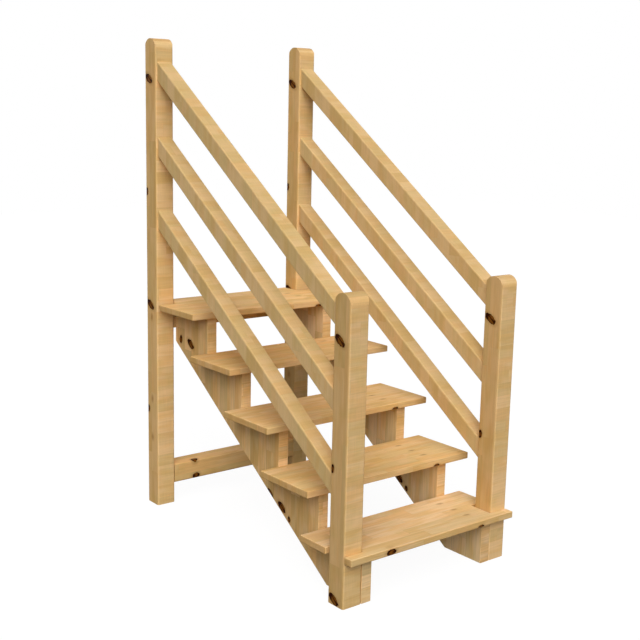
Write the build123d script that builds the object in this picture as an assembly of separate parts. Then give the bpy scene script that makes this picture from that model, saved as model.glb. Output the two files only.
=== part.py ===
"""Wooden deck stairs: five open treads on two cut stringers, with posts and sloping rails.

Frame: +X to the right of someone climbing, +Y up the flight, +Z up. The origin is on the
ground, midway between the sides and midway from the lowest nose to the back posts.
The functions below measure y from the front posts' front faces, and all_pieces() then
moves the whole flight to the origin. All lengths are in millimetres.
"""
from build123d import *
from math import atan, cos, degrees
import os

# ---- driving dimensions -------------------------------------------------------------
OVERALL_WIDTH = 875.0          # over the outer faces of the posts
POST_WIDTH = 90.0              # square posts
POST_ARRIS = 8.0               # rounding of a post's long edges
FRONT_POST_HEIGHT = 1190.0
BACK_POST_HEIGHT = 2116.0

TREAD_COUNT = 5
FIRST_TREAD_TOP = 210.0        # ground to the top of the lowest tread
RISE = 185.5                   # top of tread to top of tread
GOING = 267.0                  # riser cut to riser cut
TREAD_THICKNESS = 28.0
NOSING = 42.0                  # tread's overhang past the riser cut below it
TREAD_ARRIS = 4.0

TOP_NOSING = 24.0              # overhang of the top tread
LANDING = 279.0                # last riser cut to the back posts

STRINGER_THICKNESS = 48.0
STRINGER_FOOT = 207.0          # length of the flat foot on the ground
STRINGER_END_DEPTH = 147.0     # upright depth of the stringer's back end
STRINGER_END_GAP = 13.0        # stringer's back end to the back posts' front plane
STRINGER_ARRIS = 2.0

NOTCH_SIDE_GAP = 1.0           # tread notch to the post's inner face
NOTCH_END_GAP = 20.0           # tread notch to the post, along the flight

RAIL_SIZE = 70.0               # square rails, centred on the posts
RAIL_ARRIS = 6.0
HANDRAIL_TOP = 842.0           # upright from the nosing line to the handrail's top
RAIL_SPACING = 322.0           # upright from rail to rail

LOWER_CROSS_RAIL_BOTTOM = 94.0  # the cross rails are of the posts' timber

# ---- what follows from them ---------------------------------------------------------
HALF_WIDTH = OVERALL_WIDTH / 2
POST_INNER = HALF_WIDTH - POST_WIDTH              # x of a post's inner face
PITCH = atan(RISE / GOING)
SLOPE = RISE / GOING
BACK_POST_Y = (TREAD_COUNT - 1) * GOING + LANDING
BACK_PLANE_Y = BACK_POST_Y + POST_WIDTH
STRINGER_END_Y = BACK_POST_Y - STRINGER_END_GAP
MIDDLE_Y = (BACK_PLANE_Y - NOSING) / 2           # halfway along the flight
TOP_SEAT = FIRST_TREAD_TOP + (TREAD_COUNT - 1) * RISE - TREAD_THICKNESS

SIDES = {"left": -1, "right": 1}


def tread_top(number):
    """Height of a tread's top, tread 1 being the lowest."""
    return FIRST_TREAD_TOP + (number - 1) * RISE


def nosing_line(y):
    """Height of the line over the tread noses at y."""
    return FIRST_TREAD_TOP + (y + NOSING) * SLOPE


def round_edges(solid, edges, radius):
    """Round the given edges of a solid."""
    return fillet(edges, radius=radius) if radius > 0 else solid


def squared_timber(size_x, size_y, size_z, arris, axis):
    """A timber centred on the origin, with its edges along one axis rounded."""
    timber = Box(size_x, size_y, size_z)
    return round_edges(timber, timber.edges().filter_by(axis), arris)


# ---- pieces -------------------------------------------------------------------------
def post(side, front_y, height):
    """An upright post on the ground, with a half-round top across the flight."""
    centre_x = side * (HALF_WIDTH - POST_WIDTH / 2)
    centre_y = front_y + POST_WIDTH / 2
    radius = POST_WIDTH / 2
    timber = squared_timber(POST_WIDTH, POST_WIDTH, height, POST_ARRIS, Axis.Z)
    timber = Pos(centre_x, centre_y, height / 2) * timber
    shaft = Box(POST_WIDTH, POST_WIDTH, height - radius,
                align=(Align.CENTER, Align.CENTER, Align.MIN))
    crown = Pos(0, 0, height - radius) * (Rot(0, 90, 0) * Cylinder(radius, POST_WIDTH))
    return timber & (Pos(centre_x, centre_y, 0) * (shaft + crown))


def stringer(side):
    """A cut stringer: a level seat and an upright riser cut for each tread."""
    outline = [(0, 0)]
    for number in range(1, TREAD_COUNT + 1):
        riser_y = (number - 1) * GOING
        seat_z = tread_top(number) - TREAD_THICKNESS
        outline.append((riser_y, seat_z))
        if number < TREAD_COUNT:
            outline.append((riser_y + GOING, seat_z))
    outline.append((STRINGER_END_Y, TOP_SEAT))
    outline.append((STRINGER_END_Y, TOP_SEAT - STRINGER_END_DEPTH))
    outline.append((STRINGER_FOOT, 0))
    face = Plane.YZ * make_face(Polyline(*outline, close=True))
    board = extrude(face, STRINGER_THICKNESS / 2, both=True)
    rims = board.edges() - board.edges().filter_by(Axis.X)
    board = round_edges(board, rims, STRINGER_ARRIS)
    return Pos(side * (POST_INNER - STRINGER_THICKNESS / 2), 0, 0) * board


def tread_board(front_y, back_y, top_z, cutouts):
    """A tread as wide as the stairs, with its corners cut out and its edges rounded."""
    depth = back_y - front_y
    board = Box(OVERALL_WIDTH, depth, TREAD_THICKNESS)
    board = Pos(0, (front_y + back_y) / 2, top_z - TREAD_THICKNESS / 2) * board
    for cutout in cutouts:
        board -= cutout
    return round_edges(board, board.edges(), TREAD_ARRIS)


def post_cutout(side, near_y, far_y, top_z):
    """What a tread loses beside a post, from near_y to far_y."""
    width = POST_WIDTH + NOTCH_SIDE_GAP
    block = Box(2 * width, far_y - near_y, 2 * TREAD_THICKNESS)
    return Pos(side * HALF_WIDTH, (near_y + far_y) / 2, top_z - TREAD_THICKNESS / 2) * block


def tread(number):
    """One tread; the first is notched round the front posts, the last round the back ones."""
    riser_y = (number - 1) * GOING
    top_z = tread_top(number)
    front_y = riser_y - NOSING
    back_y = riser_y + GOING
    cutouts = []
    if number == 1:
        cutouts = [post_cutout(side, 0, POST_WIDTH + NOTCH_END_GAP, top_z)
                   for side in SIDES.values()]
    if number == TREAD_COUNT:
        front_y = riser_y - TOP_NOSING
        back_y = BACK_PLANE_Y
        cutouts = [post_cutout(side, BACK_POST_Y - NOTCH_END_GAP, back_y + POST_WIDTH, top_z)
                   for side in SIDES.values()]
    return tread_board(front_y, back_y, top_z, cutouts)


def sloping_rail(side, level):
    """A rail from the front post to the back post; level 0 is the handrail."""
    start_y = POST_WIDTH
    run = BACK_POST_Y - start_y
    middle_y = start_y + run / 2
    depth_upright = RAIL_SIZE / cos(PITCH)
    top_z = nosing_line(middle_y) + HANDRAIL_TOP - level * RAIL_SPACING
    length = run / cos(PITCH) + 2 * RAIL_SIZE
    timber = squared_timber(RAIL_SIZE, length, RAIL_SIZE, RAIL_ARRIS, Axis.Y)
    timber = Rot(degrees(PITCH), 0, 0) * timber
    window = Box(2 * RAIL_SIZE, run, 2 * length)
    centre_x = side * (HALF_WIDTH - POST_WIDTH / 2)
    return Pos(centre_x, middle_y, top_z - depth_upright / 2) * (timber & window)


def cross_rail(bottom_z):
    """A level rail between the two back posts, of the same timber and flush with them."""
    timber = squared_timber(2 * POST_INNER, POST_WIDTH, POST_WIDTH, POST_ARRIS, Axis.X)
    centre_y = BACK_POST_Y + POST_WIDTH / 2
    return Pos(0, centre_y, bottom_z + POST_WIDTH / 2) * timber


def all_pieces():
    """Every piece of the stairs by its name."""
    pieces = {}
    for name, side in SIDES.items():
        pieces["front_post_" + name] = post(side, 0, FRONT_POST_HEIGHT)
        pieces["back_post_" + name] = post(side, BACK_POST_Y, BACK_POST_HEIGHT)
        pieces["stringer_" + name] = stringer(side)
        for level, rail in enumerate(("handrail", "middle_rail", "lower_rail")):
            pieces[rail + "_" + name] = sloping_rail(side, level)
    for number in range(1, TREAD_COUNT + 1):
        pieces["tread_%d" % number] = tread(number)
    pieces["cross_rail_lower"] = cross_rail(LOWER_CROSS_RAIL_BOTTOM)
    pieces["cross_rail_upper"] = cross_rail(TOP_SEAT - POST_WIDTH)
    return {name: Pos(0, -MIDDLE_Y, 0) * piece for name, piece in pieces.items()}


os.makedirs("parts", exist_ok=True)
for piece_name, piece in all_pieces().items():
    export_step(piece, "parts/" + piece_name + ".step")
    print(piece_name, round(piece.volume / 1000), "cm3")
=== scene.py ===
"""Wooden deck stairs: five open treads on two cut stringers, between posts with sloping rails.

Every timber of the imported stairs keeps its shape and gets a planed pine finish: glued staves,
growth rings, fine fibre and knots. A plain pale floor, soft lamps and the camera stand round it.
Lengths are in metres unless a name says millimetres.
"""

import logging
import math
from dataclasses import dataclass
from enum import Enum
from typing import Any, ClassVar, Mapping, Sequence

import bpy
from mathutils import Euler, Matrix, Vector


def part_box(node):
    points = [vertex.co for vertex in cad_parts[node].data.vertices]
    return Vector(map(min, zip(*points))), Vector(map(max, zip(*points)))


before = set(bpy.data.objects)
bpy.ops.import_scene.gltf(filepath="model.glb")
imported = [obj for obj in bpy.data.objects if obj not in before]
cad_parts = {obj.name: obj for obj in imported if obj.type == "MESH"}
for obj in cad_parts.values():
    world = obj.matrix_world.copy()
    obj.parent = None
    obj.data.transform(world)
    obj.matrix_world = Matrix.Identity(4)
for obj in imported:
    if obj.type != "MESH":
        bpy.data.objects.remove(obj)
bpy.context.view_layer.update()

LOG = logging.getLogger("deck_stairs")
MILLIMETRE = 0.001
TREAD_COUNT = 5
PITCH_ROUNDS = 20

Pair = tuple[float, float]
Triple = tuple[float, float, float]
Stops = tuple[tuple[float, str], ...]
Socket = bpy.types.NodeSocket


def linear(colour: str) -> tuple[float, float, float, float]:
    """Turns an sRGB hex colour into linear light.

    Args:
        colour: six hex digits after a hash, such as "#c8a878".

    Returns:
        Red, green, blue and alpha, each from 0 to 1.
    """
    channels = [int(colour[i:i + 2], 16) / 255 for i in (1, 3, 5)]
    curve = [c / 12.92 if c <= 0.04045 else ((c + 0.055) / 1.055) ** 2.4 for c in channels]
    return (curve[0], curve[1], curve[2], 1.0)


def add_node(tree: bpy.types.NodeTree, kind: str, settings: Mapping[str, Any] | None = None,
             inputs: Mapping[str | int, Any] | None = None) -> bpy.types.Node:
    """Adds a node to a tree, with its settings, socket values and links.

    Args:
        tree: the material's or world's node tree.
        kind: the node's type name.
        settings: properties of the node; "stops" fills a colour ramp instead.
        inputs: what goes into each socket, by name or number: a socket to link, or a value.

    Returns:
        The new node.
    """
    node = tree.nodes.new(kind)
    for name, value in (settings or {}).items():
        if name == "stops":
            ramp = node.color_ramp.elements
            while len(ramp) < len(value):
                ramp.new(0.5)
            for element, (place, colour) in zip(ramp, value):
                element.position = place
                element.color = linear(colour)
        else:
            setattr(node, name, value)
    for key, value in (inputs or {}).items():
        if isinstance(value, Socket):
            tree.links.new(value, node.inputs[key])
        else:
            node.inputs[key].default_value = value
    return node


class Fibre(Enum):
    """Which way a timber's fibres run."""

    UPRIGHT = "upright"
    ACROSS = "across"
    PITCH = "pitch"


class Facing(Enum):
    """The axis that a knot's branch runs along, out of the face that shows it."""

    SIDE = 0
    FRONT = 1
    TOP = 2


@dataclass(frozen=True)
class Knot:
    """A knot where a branch comes out of a timber.

    Attributes:
        at: its middle in millimetres from the timber's low left front corner.
        facing: the axis that it comes out along.
        length: its long size on the face, in millimetres.
        width: its short size on the face, in millimetres.
        tilt: the turn of its long way about the facing axis, in degrees, from upright, or
            from the stairs' width on a top face.
    """

    at: Triple
    facing: Facing
    length: float
    width: float
    tilt: float = 0.0

    # How far a knot reaches into the timber, as a share of its length.
    DEPTH: ClassVar[float] = 0.6

    def radii(self) -> Triple:
        """Half its size along each axis.

        Returns:
            The radii before it is tilted, in millimetres.
        """
        depth, half_length, half_width = self.length * self.DEPTH, self.length / 2, self.width / 2
        return {
            Facing.SIDE: (depth, half_width, half_length),
            Facing.FRONT: (half_width, depth, half_length),
            Facing.TOP: (half_length, half_width, depth),
        }[self.facing]

    def turn(self) -> Triple:
        """Its tilt as Euler angles, about the axis that it comes out along."""
        return tuple(math.radians(self.tilt) if axis is self.facing else 0.0 for axis in Facing)

    def long_way(self) -> Triple:
        """The axis that its long size lies along before it is tilted."""
        return (1, 0, 0) if self.facing is Facing.TOP else (0, 0, 1)


@dataclass(frozen=True)
class PlanedPine:
    """Planed and lightly sanded pine, clear matt.

    Pale early wood and thin tan late wood give it soft lines, and the dark knots stand out.
    The boards are glued from staves, which lie level on the fronts, backs and tops, and stand
    upright on the sides.

    Attributes:
        fibre: which way the timber's own fibres run.
        seed: shifts every pattern, so that no two timbers match.
        front: the early wood's colour on the front and back faces, lightened on some timbers as
            painted light.
        top: its colour on the faces that look up or down, lightened on some treads as painted
            light.
        side: its colour on the left and right faces, mostly darker than the front as painted
            shade, and lighter on the right stringer as painted light.
        knots: the timber's dark knots.
        pins: the timber's faint small knots.
        lines: how plainly the rings and glued joints show, from 0 to 1.
        contrast: how much lighter or darker a stave may be than the rest.
    """

    fibre: Fibre
    seed: float
    front: str
    top: str
    side: str
    knots: Sequence[Knot] = ()
    pins: Sequence[Knot] = ()
    lines: float = 0.5
    contrast: float = 0.04

    # What a pale and a golden patch multiply the early wood's colour by.
    PALE: ClassVar[Triple] = (1.06, 1.03, 1.12)
    GOLDEN: ClassVar[Triple] = (0.94, 0.855, 0.70)
    # Late wood, end grain, the glued joints and the three parts of a knot.
    LATE: ClassVar[str] = "#b0803f"
    END: ClassVar[str] = "#b8935a"
    GLUE: ClassVar[str] = "#a97c42"
    KNOT_HEART: ClassVar[str] = "#7c4a16"
    KNOT_BARK: ClassVar[str] = "#2b0b00"
    KNOT_HALO: ClassVar[str] = "#a06c34"

    # A stave's width and length, on the level faces and on the sides.
    STAVE_MM: ClassVar[Pair] = (52.0, 420.0)
    SIDE_STAVE_MM: ClassVar[Pair] = (58.0, 380.0)
    # A glued joint fades out between these distances from its middle.
    JOINT_MM: ClassVar[Pair] = (0.4, 1.4)
    # Rings of fast-grown pine, how far they wander from a true circle, and in what lumps.
    RING_MM: ClassVar[float] = 5.2
    WANDER_MM: ClassVar[float] = 7.0
    WANDER_LUMP_MM: ClassVar[Triple] = (55.0, 55.0, 500.0)
    # Real fibres are far finer than this; they are drawn as coarse as they need to be to show.
    FIBRE_MM: ClassVar[Triple] = (1.6, 1.6, 90.0)
    # Bands of darker growth, golden streaks, and the slow drift from warm to pale.
    BAND_MM: ClassVar[Triple] = (14.0, 6.0, 150.0)
    STREAK_MM: ClassVar[Triple] = (60.0, 36.0, 170.0)
    CLOUD_MM: ClassVar[Triple] = (90.0, 90.0, 90.0)
    # The bumps in a knot's outline.
    KNOT_LUMP_MM: ClassVar[Triple] = (7.0, 7.0, 7.0)

    # Where the tree's heart lies beside a stave, in metres, and how a seed moves it.
    HEART_SWAY: ClassVar[float] = 0.05
    HEART_ACROSS: ClassVar[float] = -0.07
    SWAY_PER_SEED: ClassVar[float] = 2.1
    ALONG_PER_SEED: ClassVar[float] = 1.3

    def turn(self, pitch: float) -> Euler:
        """The turn that brings the fibres' way to the pattern's own third axis.

        Args:
            pitch: the rails' angle over the ground, in radians.

        Returns:
            The turn as Euler angles.
        """
        turns = {
            Fibre.UPRIGHT: (0.0, 0.0, 0.0),
            Fibre.ACROSS: (0.0, -math.pi / 2, 0.0),
            Fibre.PITCH: (math.pi / 2 - pitch, 0.0, 0.0),
        }
        return Euler(turns[self.fibre])

    def heart(self) -> Triple:
        """Where this seed puts the staves in the tree, seen from its heart, in metres."""
        sway = self.HEART_SWAY * math.sin(self.seed * self.SWAY_PER_SEED)
        return (sway, self.HEART_ACROSS, self.seed * self.ALONG_PER_SEED)


@dataclass(frozen=True)
class FaceField:
    """Which way the surface looks at each point, 1 for yes and 0 for no.

    Attributes:
        side: to the left or right.
        front: to the front or back.
        top: up or down.
    """

    side: Socket
    front: Socket
    top: Socket


@dataclass(frozen=True)
class StaveField:
    """The stave at each point.

    Attributes:
        wood: the wood's coordinates, with the stave's length along the last.
        tone: how golden the stave is, from 0 to 1.
        hue: how light the stave is, from 0 to 1.
        joint: 1 on a glued joint and 0 away from it.
    """

    wood: Socket
    tone: Socket
    hue: Socket
    joint: Socket


@dataclass(frozen=True)
class KnotField:
    """The nearest knot at each point.

    Attributes:
        body: the distance from its middle, in knot radii.
        place: the place along it, from -1 at its low end to 1.
        streaks: its dark and light streaks, about 0.5.
    """

    body: Socket
    place: Socket
    streaks: Socket


class PineMaterial:
    """Builds one timber's planed pine as a node material.

    Attributes:
        pine: the timber's finish.
        low: the timber's lowest corner.
        centre: the timber's middle.
        turn: the turn that brings the fibres' way to the pattern's own third axis.
        material: the material.
        tree: its node tree.
        point: the place on the timber.
        normal: the surface's normal.
        face: which way the surface looks.
    """

    # A face looks along an axis where its normal's share of that axis is over this.
    SQUARE_ON = 0.7
    # A noise's values lie mostly in this span, about its middle.
    NOISE_SPAN = (0.25, 0.75)
    MIDDLE = 0.5

    # Staves: how the seed and the side faces move the rows, how unevenly the rows' ends are
    # set, and how far apart in the tree two staves may be cut.
    ROW_PER_SEED = 0.37
    SIDE_ROW = 0.5
    STAGGER = 7.0
    CUT_APART = (0.12, 0.12, 3.0)

    # Rings: how far they bend round a knot and how unevenly they are spaced, both in rings,
    # and the late wood's share from one ring to the next.
    KNOT_BEND = 2.0
    UNEVEN = 2.0
    UNEVEN_SCALE = 0.35
    RING_STOPS: Stops = (
        (0.0, "#000000"), (0.45, "#2a2a2a"), (0.80, "#a0a0a0"), (0.92, "#ffffff"), (1.0, "#101010"))

    # Clear wood: where the patches begin and end, what a stave adds to them, and how much each
    # part of the figure shows.
    CLOUD_PER_SEED = 0.71
    PALE_SPAN = (0.5, 0.8)
    PALE_PER_STAVE = 0.3
    GOLDEN_SPAN = (0.52, 0.78)
    GOLDEN_PER_STAVE = 0.25
    LEAST_GOLDEN = 0.5
    LATE_SHARE = 0.15
    FIBRE_SHADE = 0.05
    BAND_SHADE = 0.09
    GLUE_SHARE = 0.2
    END_SPAN = (0.6, 0.95)
    END_SHARE = 0.25

    # Knots: where the edge, the rim, the halo and a faint knot begin and end, and how far the
    # streaks reach, all in knot radii; then how much of each shows.
    EDGE_SPAN = (0.88, 1.04)
    RIM_SPAN = (0.6, 0.9)
    HALO_SPAN = (0.95, 1.7)
    FAINT_SPAN = (0.1, 1.5)
    STREAK_REACH = 1.6
    STREAKS_PER_KNOT = (2.2, 2.2, 0.7)
    RAGGED = 0.5
    RIM_BARK = 0.35
    STREAK_BARK = 3.4
    BARK_SPAN = (0.2, 0.85)
    HALO_SHARE = 0.35
    FAINT_SHARE = 0.62
    # The bark's share from a knot's low end to its high end.
    BARK_STOPS: Stops = (
        (0.0, "#ffffff"), (0.25, "#b8b8b8"), (0.42, "#8a8a8a"), (0.62, "#989898"), (0.75, "#ffffff"))

    # Surface: matt all over, a little smoother and prouder where the late wood is.
    EARLY_ROUGHNESS = 0.62
    LATE_ROUGHNESS = 0.5
    SHEEN = 0.02
    LATE_HEIGHT = 0.5
    BUMP_STRENGTH = 0.35
    BUMP_MM = 0.4

    def __init__(self, name: str, pine: PlanedPine, low: Vector, high: Vector, pitch: float) -> None:
        """Starts an empty material for one timber.

        Args:
            name: the timber's name.
            pine: its finish.
            low: the timber's lowest corner.
            high: the timber's highest corner.
            pitch: the rails' angle over the ground, in radians.
        """
        self.pine = pine
        self.low = low
        self.centre = (low + high) / 2
        self.turn = pine.turn(pitch)
        self.material = bpy.data.materials.new("planed_pine_" + name)
        self.material.use_nodes = True
        self.tree = self.material.node_tree
        self.tree.nodes.clear()
        coordinates = self.node("ShaderNodeTexCoord")
        self.point = coordinates.outputs["Object"]
        self.normal = coordinates.outputs["Normal"]
        self.face = self.faces()

    def node(self, kind: str, settings: Mapping[str, Any] | None = None,
             inputs: Mapping[str | int, Any] | None = None) -> bpy.types.Node:
        """Adds a node to this material, as add_node does."""
        return add_node(self.tree, kind, settings, inputs)

    def maths(self, operation: str, *values: Any) -> Socket:
        """Adds one sum on numbers.

        Args:
            operation: the sum's name, such as "MULTIPLY".
            values: sockets or numbers, in order.

        Returns:
            The socket with the result.
        """
        node = self.node("ShaderNodeMath", {"operation": operation}, dict(enumerate(values)))
        return node.outputs[0]

    def vector_maths(self, operation: str, *values: Any) -> Socket:
        """Adds one sum on vectors.

        Args:
            operation: the sum's name, such as "ADD".
            values: sockets or triples, in order.

        Returns:
            The socket with the result, a number for a length or a dot product.
        """
        node = self.node("ShaderNodeVectorMath", {"operation": operation}, dict(enumerate(values)))
        return node.outputs["Value" if operation in ("LENGTH", "DOT_PRODUCT") else "Vector"]

    def span(self, value: Socket, ends: Pair, results: Pair = (0.0, 1.0),
             way: str = "SMOOTHSTEP") -> Socket:
        """Maps one range of numbers to another and stays level past its ends.

        Args:
            value: the number to map.
            ends: the two ends of its range.
            results: what the two ends give.
            way: how it goes between them, which is softly at both ends unless told otherwise.

        Returns:
            The socket with the mapped number.
        """
        inputs = {"Value": value, "From Min": ends[0], "From Max": ends[1],
                  "To Min": results[0], "To Max": results[1]}
        return self.node("ShaderNodeMapRange", {"interpolation_type": way}, inputs).outputs[0]

    def ramp(self, value: Socket, stops: Stops) -> Socket:
        """Reads a grey off a ramp, at a place from 0 to 1."""
        return self.node("ShaderNodeValToRGB", {"stops": stops}, {0: value}).outputs[0]

    def axes(self, vector: Socket) -> Sequence[Socket]:
        """Splits a vector into its three numbers."""
        return self.node("ShaderNodeSeparateXYZ", None, {0: vector}).outputs

    def join(self, x: Socket, y: Socket, z: Socket) -> Socket:
        """Makes a vector of three numbers."""
        return self.node("ShaderNodeCombineXYZ", None, {0: x, 1: y, 2: z}).outputs[0]

    def noise(self, vector: Socket, size_mm: Triple, detail: float, output: str = "Fac") -> Socket:
        """Adds a noise whose lumps have a real size.

        Args:
            vector: the coordinates that it follows, in metres.
            size_mm: the size of its lumps along each axis, in millimetres.
            detail: how many finer layers it has.
            output: "Fac" for a number or "Color" for three.

        Returns:
            The socket with the noise.
        """
        scaled = self.vector_maths("DIVIDE", vector, Vector(size_mm) * MILLIMETRE)
        inputs = {"Vector": scaled, "Scale": 1.0, "Detail": detail}
        return self.node("ShaderNodeTexNoise", {"noise_dimensions": "3D"}, inputs).outputs[output]

    def mix(self, factor: Socket | float, first: Socket | str, second: Socket | str) -> Socket:
        """Mixes two colours.

        Args:
            factor: how much of the second shows.
            first: the colour beneath, a socket or a hex colour.
            second: the colour on top, a socket or a hex colour.

        Returns:
            The socket with the mixed colour.
        """
        under, over = (linear(c) if isinstance(c, str) else c for c in (first, second))
        node = self.node("ShaderNodeMix", {"data_type": "RGBA"}, {0: factor, 6: under, 7: over})
        return node.outputs[2]

    def blend(self, factor: Socket, first: Socket | float, second: Socket | float) -> Socket:
        """Goes from a first number to a second as factor goes from 0 to 1."""
        inputs = {0: factor, 2: first, 3: second}
        return self.node("ShaderNodeMix", {"data_type": "FLOAT"}, inputs).outputs[0]

    def shade(self, colour: Socket, amount: Socket) -> Socket:
        """Makes a colour lighter or darker, 1 leaving it as it is."""
        return self.vector_maths("MULTIPLY", colour, self.join(amount, amount, amount))

    def counted(self, place: Socket, size_mm: Socket) -> Socket:
        """Counts how many of a size in millimetres fit before a place in metres."""
        return self.maths("DIVIDE", self.maths("MULTIPLY", place, 1 / MILLIMETRE), size_mm)

    def faces(self) -> FaceField:
        """Finds which way each face looks.

        Returns:
            The sides, the fronts and backs, and the tops and undersides.
        """
        x, _, z = (self.maths("ABSOLUTE", part) for part in self.axes(self.normal))
        side = self.maths("GREATER_THAN", x, self.SQUARE_ON)
        top = self.maths("GREATER_THAN", z, self.SQUARE_ON)
        front = self.maths("SUBTRACT", 1.0, self.maths("MAXIMUM", side, top))
        return FaceField(side, front, top)

    def knot_field(self, knots: Sequence[Knot]) -> KnotField:
        """Finds where each point lies in the nearest knot.

        Args:
            knots: one or more knots, none over another.

        Returns:
            The distance from the knot's middle, the place along it and its streaks.
        """
        body = place = within = None
        for knot in knots:
            inside = self.node("ShaderNodeMapping", {"vector_type": "TEXTURE"}, {
                "Vector": self.point, "Location": self.low + Vector(knot.at) * MILLIMETRE,
                "Rotation": knot.turn(), "Scale": Vector(knot.radii()) * MILLIMETRE}).outputs[0]
            length = self.vector_maths("LENGTH", inside)
            near = self.node("ShaderNodeVectorMath", {"operation": "SCALE"}, {
                0: inside, "Scale": self.maths("LESS_THAN", length, self.STREAK_REACH)}).outputs[0]
            along = self.vector_maths("DOT_PRODUCT", near, knot.long_way())
            body = length if body is None else self.maths("MINIMUM", body, length)
            place = along if place is None else self.maths("ADD", place, along)
            within = near if within is None else self.vector_maths("ADD", within, near)
        lumps = self.noise(self.point, self.pine.KNOT_LUMP_MM, detail=3.0)
        ragged = self.maths("MULTIPLY", self.maths("SUBTRACT", lumps, self.MIDDLE), self.RAGGED)
        streaks = self.node("ShaderNodeTexNoise", {"noise_dimensions": "3D"}, {
            "Vector": self.vector_maths("MULTIPLY", within, self.STREAKS_PER_KNOT),
            "Scale": 1.0, "Detail": 2.0}).outputs["Fac"]
        return KnotField(self.maths("ADD", body, ragged), place, streaks)

    def staves(self) -> StaveField:
        """Lays glued staves over the timber.

        Returns:
            The wood's coordinates, each stave's tone and hue, and the joints.
        """
        pine, side = self.pine, self.face.side
        x, y, z = self.axes(self.point)
        depth = self.blend(side, self.blend(self.face.top, y, z), x)
        across = self.blend(self.face.front, y, z)
        along = self.blend(side, x, z)
        width, length = (self.blend(side, level, upright)
                         for level, upright in zip(pine.STAVE_MM, pine.SIDE_STAVE_MM))
        moved = self.maths("ADD", pine.seed * self.ROW_PER_SEED,
                           self.maths("MULTIPLY", side, self.SIDE_ROW))
        row_place = self.maths("ADD", self.counted(across, width), moved)
        row = self.maths("FLOOR", row_place)
        stagger = self.node("ShaderNodeTexWhiteNoise", {"noise_dimensions": "1D"}, {
            "W": self.maths("ADD", row, pine.seed)}).outputs["Value"]
        end_place = self.maths("ADD", self.counted(along, length),
                               self.maths("MULTIPLY", stagger, self.STAGGER))
        cell = self.join(row, self.maths("FLOOR", end_place), self.maths("ADD", side, pine.seed))
        draw = self.node("ShaderNodeTexWhiteNoise", {"noise_dimensions": "3D"}, {"Vector": cell})

        about_zero = self.vector_maths("SUBTRACT", draw.outputs["Color"], (self.MIDDLE,) * 3)
        cut = self.vector_maths("MULTIPLY", about_zero, self.CUT_APART)
        wood = self.vector_maths("ADD", self.join(depth, across, along), cut)
        wood = self.vector_maths("ADD", wood, pine.heart())
        edge = self.maths("MULTIPLY", self.maths("PINGPONG", row_place, 0.5), width)
        end = self.maths("MULTIPLY", self.maths("PINGPONG", end_place, 0.5), length)
        joint = self.span(self.maths("MINIMUM", edge, end), pine.JOINT_MM, (1.0, 0.0))
        hue = self.axes(draw.outputs["Color"])[2]
        return StaveField(wood, draw.outputs["Value"], hue, joint)

    def rings(self, wood: Socket, knots: KnotField | None) -> Socket:
        """Draws growth rings about the tree's heart, which bend round the knots.

        Args:
            wood: the wood's coordinates, with the stave's length along the last.
            knots: the nearest dark knot, if the timber has any.

        Returns:
            How much late wood shows, from 0 to 1.
        """
        pine = self.pine
        lumps = self.noise(wood, pine.WANDER_LUMP_MM, detail=2.0, output="Color")
        about_zero = self.vector_maths("SUBTRACT", lumps, (self.MIDDLE,) * 3)
        reach = 2 * pine.WANDER_MM * MILLIMETRE
        wander = self.vector_maths("MULTIPLY", about_zero, (reach, reach, 0.0))
        flat = self.vector_maths("MULTIPLY", wood, (1.0, 1.0, 0.0))
        radius = self.vector_maths("LENGTH", self.vector_maths("ADD", flat, wander))
        count = self.maths("DIVIDE", radius, pine.RING_MM * MILLIMETRE)
        if knots is not None:
            away = self.maths("ADD", 1.0, self.maths("POWER", knots.body, 2.0))
            count = self.maths("ADD", count, self.maths("DIVIDE", self.KNOT_BEND, away))
        uneven = self.node("ShaderNodeTexNoise", {"noise_dimensions": "1D"}, {
            "W": count, "Scale": self.UNEVEN_SCALE, "Detail": 1.0}).outputs["Fac"]
        count = self.maths("ADD", count, self.maths("MULTIPLY", uneven, self.UNEVEN))
        return self.ramp(self.maths("FRACT", count), self.RING_STOPS)

    def fibres(self) -> Socket:
        """Draws fine fibres that run the timber's own way.

        Returns:
            A noise from 0 to 1.
        """
        own = self.node("ShaderNodeMapping", {"vector_type": "POINT"}, {
            "Vector": self.point, "Rotation": self.turn,
            "Location": -(self.turn.to_matrix() @ self.centre)}).outputs[0]
        return self.noise(own, self.pine.FIBRE_MM, detail=3.0)

    def clear_wood(self, staves: StaveField, late: Socket, fine: Socket) -> Socket:
        """Colours the wood between the knots.

        Args:
            staves: the staves.
            late: how much late wood shows.
            fine: the fibres' noise.

        Returns:
            The socket with the colour.
        """
        pine = self.pine
        bands = self.noise(staves.wood, pine.BAND_MM, detail=3.0)
        streak = self.noise(staves.wood, pine.STREAK_MM, detail=2.5)
        moved = self.vector_maths("ADD", self.point, (pine.seed * self.CLOUD_PER_SEED, 0.0, pine.seed))
        cloud = self.noise(moved, pine.CLOUD_MM, detail=2.0)

        # Each facing takes its own colour: the darker sides are painted shade, and the lightened fronts
        # and tops are painted light.
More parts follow.
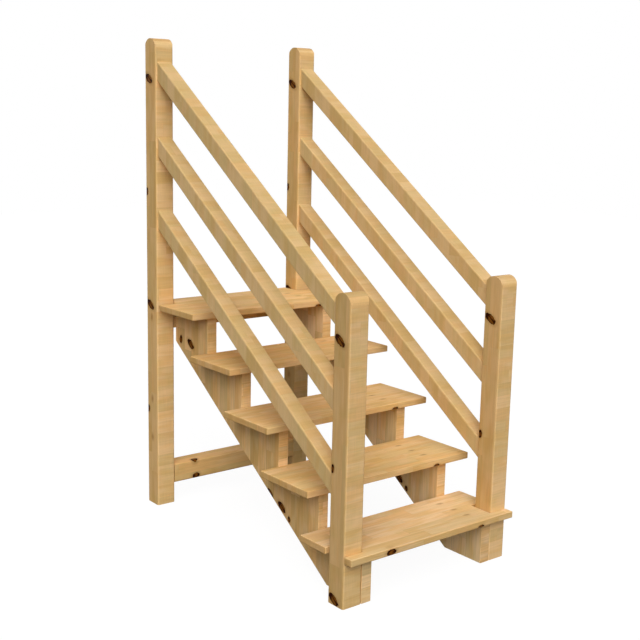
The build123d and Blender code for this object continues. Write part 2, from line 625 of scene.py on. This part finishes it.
        colour = self.mix(self.face.side, self.mix(self.face.top, pine.front, pine.top), pine.side)
        drift = self.maths("ADD", cloud, self.maths("MULTIPLY", staves.hue, self.PALE_PER_STAVE))
        pale = self.span(drift, self.PALE_SPAN)
        colour = self.mix(pale, colour, self.vector_maths("MULTIPLY", colour, pine.PALE))
        warm = self.maths("ADD", streak, self.maths("MULTIPLY", staves.tone, self.GOLDEN_PER_STAVE))
        most_golden = self.LEAST_GOLDEN + (1 - self.LEAST_GOLDEN) * pine.lines
        golden = self.span(warm, self.GOLDEN_SPAN, (0.0, most_golden))
        colour = self.mix(golden, colour, self.vector_maths("MULTIPLY", colour, pine.GOLDEN))
        late_share = self.maths("MULTIPLY", late, self.LATE_SHARE * pine.lines)
        colour = self.mix(late_share, colour, pine.LATE)
        for pattern, ends, change, way in (
                (fine, self.NOISE_SPAN, self.FIBRE_SHADE, "SMOOTHSTEP"),
                (bands, self.NOISE_SPAN, self.BAND_SHADE * pine.lines, "SMOOTHSTEP"),
                (staves.hue, (0.0, 1.0), pine.contrast, "LINEAR")):
            colour = self.shade(colour, self.span(pattern, ends, (1 - change, 1 + change), way))
        glue_share = self.maths("MULTIPLY", staves.joint, self.GLUE_SHARE * pine.lines)
        return self.mix(glue_share, colour, pine.GLUE)

    def end_grain(self, colour: Socket) -> Socket:
        """Browns the faces that cut across the timber's fibres.

        Args:
            colour: the wood's colour so far.

        Returns:
            The socket with the new colour.
        """
        turned = self.node("ShaderNodeVectorRotate", {"rotation_type": "EULER_XYZ"}, {
            "Vector": self.normal, "Rotation": self.turn}).outputs[0]
        across = self.maths("ABSOLUTE", self.axes(turned)[2])
        return self.mix(self.span(across, self.END_SPAN, (0.0, self.END_SHARE)), colour, self.pine.END)

    def faint_knots(self, colour: Socket) -> Socket:
        """Adds the faint small knots.

        Args:
            colour: the wood's colour so far.

        Returns:
            The socket with the new colour.
        """
        body = self.knot_field(self.pine.pins).body
        faint = self.span(body, self.FAINT_SPAN, (self.FAINT_SHARE, 0.0))
        return self.mix(faint, colour, self.pine.KNOT_HALO)

    def dark_knots(self, colour: Socket, knots: KnotField) -> Socket:
        """Adds the dark knots: a brown heart streaked with bark, and a tan halo round it.

        Args:
            colour: the wood's colour so far.
            knots: the nearest dark knot.

        Returns:
            The socket with the new colour.
        """
        pine = self.pine
        halo = self.span(knots.body, self.HALO_SPAN, (self.HALO_SHARE, 0.0))
        colour = self.mix(halo, colour, pine.KNOT_HALO)
        ends = self.ramp(self.span(knots.place, (-1.0, 1.0), way="LINEAR"), self.BARK_STOPS)
        rim = self.span(knots.body, self.RIM_SPAN, (0.0, self.RIM_BARK))
        about_zero = self.maths("SUBTRACT", knots.streaks, self.MIDDLE)
        streaks = self.maths("MULTIPLY", about_zero, self.STREAK_BARK)
        bark = self.span(self.maths("ADD", self.maths("ADD", ends, rim), streaks), self.BARK_SPAN)
        knot_colour = self.mix(bark, pine.KNOT_HEART, pine.KNOT_BARK)
        return self.mix(self.span(knots.body, self.EDGE_SPAN, (1.0, 0.0)), colour, knot_colour)

    def surface(self, colour: Socket, late: Socket, fine: Socket) -> None:
        """Gives the material its matt surface.

        Args:
            colour: the wood's colour.
            late: how much late wood shows.
            fine: the fibres' noise.
        """
        height = self.maths("ADD", self.maths("MULTIPLY", late, self.LATE_HEIGHT), fine)
        bump = self.node("ShaderNodeBump", None, {
            "Strength": self.BUMP_STRENGTH, "Distance": self.BUMP_MM * MILLIMETRE,
            "Height": height}).outputs[0]
        roughness = self.span(late, (0.0, 1.0), (self.EARLY_ROUGHNESS, self.LATE_ROUGHNESS))
        shader = self.node("ShaderNodeBsdfPrincipled", None, {
            "Base Color": colour, "Roughness": roughness,
            "Specular IOR Level": self.SHEEN, "Normal": bump}).outputs[0]
        self.node("ShaderNodeOutputMaterial", None, {"Surface": shader})

    def build(self) -> bpy.types.Material:
        """Builds the whole material.

        Returns:
            The finished material.
        """
        staves = self.staves()
        knots = self.knot_field(self.pine.knots) if self.pine.knots else None
        late = self.rings(staves.wood, knots)
        fine = self.fibres()
        colour = self.end_grain(self.clear_wood(staves, late, fine))
        if self.pine.pins:
            colour = self.faint_knots(colour)
        if knots is not None:
            colour = self.dark_knots(colour, knots)
        self.surface(colour, late, fine)
        return self.material


@dataclass(frozen=True)
class PostKnot:
    """A kind of knot that comes again at several heights of a post's left face.

    Attributes:
        back: how far behind the post's front it lies, in millimetres.
        length: its long size, in millimetres.
        width: its short size, in millimetres.
        tilt: its lean from upright, in degrees.
    """

    back: float
    length: float
    width: float
    tilt: float

    def at(self, heights: Sequence[float]) -> tuple[Knot, ...]:
        """Puts such a knot at each of several heights.

        Args:
            heights: the heights over the post's foot, in millimetres.

        Returns:
            One knot for each height.
        """
        return tuple(Knot((0, self.back, height), Facing.SIDE, self.length, self.width, self.tilt)
                     for height in heights)


@dataclass
class DeckStairs:
    """The stairs: which finish each timber gets.

    A pine's three colours are those of its fronts, its tops and its sides. They hold painted
    light and shade: the sides are darker than the fronts as painted shade, and the back posts,
    the cross rails' and left stringer's fronts, the right stringer's sides and the lowest
    tread's top are lightened as painted light, against the shade that the lamps leave there.

    Attributes:
        pitch: the rails' angle over the ground, in radians.
    """

    pitch: float

    # The side colour of each timber is darker than its front as painted shade.
    FRONT_POST_PINE: ClassVar[tuple[str, ...]] = ("#e7c388", "#dfbc83", "#d2ae73")
    # The back posts are lighter than the front posts, painted light against the rails' shade.
    BACK_POST_PINE: ClassVar[tuple[str, ...]] = ("#ecc88b", "#e1bc82", "#d8b376")
    RAIL_PINE: ClassVar[tuple[str, ...]] = ("#dbb97f", "#dcbb81", "#dab97f")
    # The cross rails' front colour is lightened, painted light on their shaded fronts.
    CROSS_RAIL_PINE: ClassVar[tuple[str, ...]] = ("#e9c381", "#e5be82", "#d4af73")
    # The left stringer's front colour is lightened, painted light on the fronts under the treads.
    LEFT_STRINGER_PINE: ClassVar[tuple[str, ...]] = ("#e9c890", "#e6c48c", "#dcb87e")
    # The right stringer's side colour is lighter than its front, painted light on its shaded inner
    # face.
    RIGHT_STRINGER_PINE: ClassVar[tuple[str, ...]] = ("#e2c08a", "#e6c48c", "#ebcb94")
    TREAD_FRONT: ClassVar[str] = "#e4c085"
    # The tops differ from tread to tread as painted light, lightest on the lowest tread, where the
    # front post and rails cast the most shade.
    TREAD_TOPS: ClassVar[tuple[str, ...]] = ("#eece98", "#edc98b", "#e9c589", "#e6be80", "#eec889")
    TREAD_SIDE: ClassVar[str] = "#ddb477"

    LEANING_KNOT: ClassVar[PostKnot] = PostKnot(55, 66, 34, -58)
    ARRIS_KNOT: ClassVar[PostKnot] = PostKnot(79, 36, 21, 4)
    SOUND_KNOT: ClassVar[PostKnot] = PostKnot(46, 40, 22, 0)
    # How far behind its front edge a tread's faint knots lie.
    TREAD_PINS_MM: ClassVar[Triple] = (83, 156, 239)

    def post(self, seed: float, pine: Sequence[str], leaning: Sequence[float],
             arris: Sequence[float], far: Sequence[Knot], sound: Sequence[float] = ()) -> PlanedPine:
        """A post's finish.

        Args:
            seed: shifts its pattern.
            pine: its colours.
            leaning: heights of the big leaning knots on its left face, in millimetres.
            arris: heights of the small knots on its back left arris, in millimetres.
            far: knots on its other faces.
            sound: heights of the faint sound knots on its left face, in millimetres.

        Returns:
            The finish.
        """
        knots = (*self.LEANING_KNOT.at(leaning), *self.ARRIS_KNOT.at(arris), *far)
        return PlanedPine(Fibre.UPRIGHT, seed, *pine, knots, self.SOUND_KNOT.at(sound))

    def stringer(self, seed: float, pine: Sequence[str], contrast: float,
                 extra: Sequence[Knot] = ()) -> PlanedPine:
        """A stringer's finish, with its knots on the left face.

        Args:
            seed: shifts its pattern.
            pine: its colours.
            contrast: how much its staves differ.
            extra: knots that the other stringer doesn't have.

        Returns:
            The finish.
        """
        knots = (
            Knot((0, 1288, 793), Facing.SIDE, 39, 24, 8),
            Knot((0, 588, 268), Facing.SIDE, 44, 22, -52),
            Knot((0, 507, 230), Facing.SIDE, 62, 32, -54),
            Knot((0, 456, 192), Facing.SIDE, 26, 18, -10),
            *extra,
        )
        return PlanedPine(Fibre.UPRIGHT, seed, *pine, knots, lines=1.0, contrast=contrast)

    def tread(self, number: int) -> PlanedPine:
        """A tread's finish.

        Args:
            number: the tread's number, 1 being the lowest.

        Returns:
            The finish.
        """
        knots = (
            Knot((199, 0, 13), Facing.FRONT, 52, 24, -94),
            Knot((687, 0, 2), Facing.FRONT, 36, 18, 84),
        )
        pins = tuple(Knot((687, back, 28), Facing.TOP, 38, 15, -4) for back in self.TREAD_PINS_MM)
        pine = (self.TREAD_FRONT, self.TREAD_TOPS[number - 1], self.TREAD_SIDE)
        return PlanedPine(Fibre.ACROSS, 10.0 + number, *pine, knots, pins, lines=0.8, contrast=0.035)

    def rails(self) -> dict[str, PlanedPine]:
        """The sloping rails' finishes.

        Returns:
            Each rail's finish, by the rail's name.
        """
        made = {}
        seed = 20.0
        for rail in ("handrail", "middle_rail", "lower_rail"):
            for hand in ("left", "right"):
                seed += 1.0
                made[f"{rail}_{hand}"] = PlanedPine(
                    Fibre.PITCH, seed, *self.RAIL_PINE, lines=0.35, contrast=0.03)
        return made

    def finishes(self) -> dict[str, PlanedPine]:
        """All the timbers' finishes.

        Returns:
            Each timber's finish, by the timber's name.
        """
        side, front, top = Facing.SIDE, Facing.FRONT, Facing.TOP
        made = {
            "back_post_left": self.post(1.0, self.BACK_POST_PINE, (1945, 944), (1453, 452), (
                Knot((90, 30, 1240), side, 48, 22, 40),
                Knot((52, 90, 610), front, 40, 24, -30)), sound=(887, 505, 322)),
            "back_post_right": self.post(2.0, self.BACK_POST_PINE, (1945, 944), (1453, 452), (
                Knot((90, 38, 1580), side, 52, 24, 48),
                Knot((36, 90, 760), front, 44, 26, 25)), sound=(514,)),
            "front_post_left": self.post(3.0, self.FRONT_POST_PINE, (1016, 23), (530,), (
                Knot((90, 40, 420), side, 46, 22, 35),)),
            "front_post_right": self.post(4.0, self.FRONT_POST_PINE, (1016, 23), (529,), (
                Knot((90, 34, 700), side, 54, 26, 50),)),
            "stringer_left": self.stringer(5.0, self.LEFT_STRINGER_PINE, 0.12, (
                Knot((0, 1205, 784), side, 64, 33, -55),)),
            # Its seed is one picked so that its staves run darker under the upper treads and lighter
            # under the low ones, as painted shade and light.
            "stringer_right": self.stringer(30.0, self.RIGHT_STRINGER_PINE, 0.06),
            "cross_rail_lower": PlanedPine(Fibre.ACROSS, 7.0, *self.CROSS_RAIL_PINE, knots=(
                Knot((117, 0, 13), front, 42, 27, 84),
                Knot((112, 10, 90), top, 38, 26, 0),
                Knot((470, 0, 40), front, 30, 14, 80))),
            "cross_rail_upper": PlanedPine(Fibre.ACROSS, 8.0, *self.CROSS_RAIL_PINE),
        }
        for number in range(1, TREAD_COUNT + 1):
            made[f"tread_{number}"] = self.tread(number)
        return made | self.rails()

    def dress(self) -> None:
        """Gives every timber its own planed pine."""
        finishes = self.finishes()
        for name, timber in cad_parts.items():
            low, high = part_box(name)
            material = PineMaterial(name, finishes[name], low, high, self.pitch).build()
            timber.data.materials.clear()
            timber.data.materials.append(material)
            LOG.info("%s: planed pine", name)


@dataclass(frozen=True)
class SoftLamp:
    """A big soft lamp far away.

    Attributes:
        name: its name.
        strength: its strength in watts per square metre.
        bearing: where it stands, in degrees to the left of straight in front.
        height: its angle over the ground, in degrees.
        spread: how wide it looks from the stairs, in degrees.
    """

    name: str
    strength: float
    bearing: float
    height: float
    spread: float

    def hang(self) -> None:
        """Hangs the lamp so that it shines on the stairs."""
        lamp = bpy.data.lights.new(self.name, "SUN")
        lamp.energy = self.strength
        lamp.angle = math.radians(self.spread)
        bearing, height = math.radians(self.bearing), math.radians(self.height)
        away = Vector((-math.sin(bearing) * math.cos(height),
                       -math.cos(bearing) * math.cos(height),
                       math.sin(height)))
        holder = bpy.data.objects.new(self.name, lamp)
        holder.rotation_euler = away.to_track_quat("Z", "Y").to_euler()
        bpy.context.scene.collection.objects.link(holder)


@dataclass(frozen=True)
class StairCamera:
    """The camera in front of the stairs, to their left.

    Attributes:
        place: where it stands.
        yaw: how far it turns to the right of straight up the flight, in radians.
        pitch: how far it looks down, in radians.
        roll: how far it leans, in radians.
        lens_mm: its focal length.
        sensor_mm: its sensor's width.
    """

    place: Triple = (-2.895, -3.5942, 1.8242)
    yaw: float = 0.6754
    pitch: float = 0.1891
    roll: float = -0.0215
    lens_mm: float = 61.6
    sensor_mm: float = 36.0

    def stand(self) -> None:
        """Stands the camera in its place and makes it the scene's own."""
        lens = bpy.data.cameras.new("camera")
        lens.sensor_width = self.sensor_mm
        lens.lens = self.lens_mm
        holder = bpy.data.objects.new("camera", lens)
        holder.location = self.place
        turn = Matrix.Rotation(-self.yaw, 3, "Z") @ Matrix.Rotation(math.pi / 2 - self.pitch, 3, "X")
        turn = turn @ Matrix.Rotation(-self.roll, 3, "Z")
        holder.rotation_euler = turn.to_euler()
        bpy.context.scene.collection.objects.link(holder)
        bpy.context.scene.camera = holder


@dataclass
class Studio:
    """A plain pale studio: floor, soft lamps, white surroundings and the camera.

    Attributes:
        floor_half: half the floor's width.
        floor_bounce: how much light the floor throws back on the stairs, from 0 to 1.
        floor_paint: how much the lamps and the stairs' shadow show on the floor, from 0 to 1.
        floor_glow: what the floor adds to that, so that it looks white.
        room_light: the strength of the even light from all round.
        lamps: the soft lamps.
        camera: the camera.
    """

    floor_half: float = 14.0
    floor_bounce: float = 0.11
    floor_paint: float = 0.09
    floor_glow: float = 0.94
    room_light: float = 0.05
    lamps: Sequence[SoftLamp] = (
        SoftLamp("soft_key", 0.50, 30.0, 50.0, 55.0),
        SoftLamp("soft_high", 0.64, 45.0, 60.0, 55.0),
        SoftLamp("soft_left", 1.40, 50.0, 30.0, 45.0),
        SoftLamp("soft_front", 0.82, 20.0, 30.0, 40.0),
        SoftLamp("soft_right", 1.25, -100.0, 12.0, 50.0),
        SoftLamp("soft_behind", 1.4, -178.0, 12.0, 50.0),
    )
    camera: StairCamera = StairCamera()

    WHITE: ClassVar[tuple[float, ...]] = (1.0, 1.0, 1.0, 1.0)

    def seen(self, tree: bpy.types.NodeTree) -> Socket:
        """Tells where a surface is seen, straight on or in gloss or glass.

        Args:
            tree: the floor's or the world's node tree.

        Returns:
            A socket that is 1 for a look at the surface and 0 for the light that it gives.
        """
        path = add_node(tree, "ShaderNodeLightPath")
        seen = path.outputs["Is Camera Ray"]
        for ray in ("Is Glossy Ray", "Is Transmission Ray"):
            seen = add_node(tree, "ShaderNodeMath", {"operation": "MAXIMUM"}, {
                0: seen, 1: path.outputs[ray]}).outputs[0]
        return seen

    def floor(self) -> None:
        """Lays a pale floor that keeps the stairs' shadow and looks white elsewhere."""
        bpy.ops.object.select_all(action="DESELECT")
        bpy.ops.mesh.primitive_plane_add(size=self.floor_half * 2)
        plane = bpy.context.object
        plane.name = "studio_floor"
        material = bpy.data.materials.new("matt_white_floor")
        material.use_nodes = True
        tree = material.node_tree
        tree.nodes.clear()
        bounce, paint = (
            add_node(tree, "ShaderNodeBsdfDiffuse", None, {"Color": (grey, grey, grey, 1.0)}).outputs[0]
            for grey in (self.floor_bounce, self.floor_paint))
        glow = add_node(tree, "ShaderNodeEmission", None, {"Strength": self.floor_glow}).outputs[0]
        white = add_node(tree, "ShaderNodeAddShader", None, {0: paint, 1: glow}).outputs[0]
        out = add_node(tree, "ShaderNodeMixShader", None, {0: self.seen(tree), 1: bounce, 2: white})
        add_node(tree, "ShaderNodeOutputMaterial", None, {"Surface": out.outputs[0]})
        plane.data.materials.append(material)

    def surroundings(self) -> None:
        """Fills the room with even light and shows plain white behind the stairs."""
        world = bpy.data.worlds.new("pale_room")
        world.use_nodes = True
        bpy.context.scene.world = world
        tree = world.node_tree
        tree.nodes.clear()
        room, white = (
            add_node(tree, "ShaderNodeBackground", None, {
                "Color": self.WHITE, "Strength": strength}).outputs[0]
            for strength in (self.room_light, 1.0))
        out = add_node(tree, "ShaderNodeMixShader", None, {0: self.seen(tree), 1: room, 2: white})
        add_node(tree, "ShaderNodeOutputWorld", None, {"Surface": out.outputs[0]})

    def set_up(self) -> None:
        """Sets up the whole studio."""
        self.floor()
        self.surroundings()
        for lamp in self.lamps:
            lamp.hang()
        self.camera.stand()
        bpy.context.scene.view_settings.view_transform = "Standard"
        LOG.info("studio: floor, surroundings, %d lamps and the camera", len(self.lamps))


def rail_pitch() -> float:
    """Works out the rails' angle over the ground from the left handrail's box.

    The rail is cut upright at both ends, so its box is higher than its climb by its upright
    size, which is its section over the cosine of the pitch. A few rounds settle the pitch.

    Returns:
        The pitch in radians.
    """
    low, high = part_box("handrail_left")
    section, run, height = high.x - low.x, high.y - low.y, high.z - low.z
    pitch = math.atan2(height, run)
    for _ in range(PITCH_ROUNDS):
        pitch = math.atan2(height - section / math.cos(pitch), run)
    return pitch


def main() -> None:
    """Dresses the stairs and sets up the studio round them."""
    logging.basicConfig(level=logging.INFO, format="%(name)s: %(message)s")
    DeckStairs(rail_pitch()).dress()
    Studio().set_up()


if __name__ == "__main__":
    main()
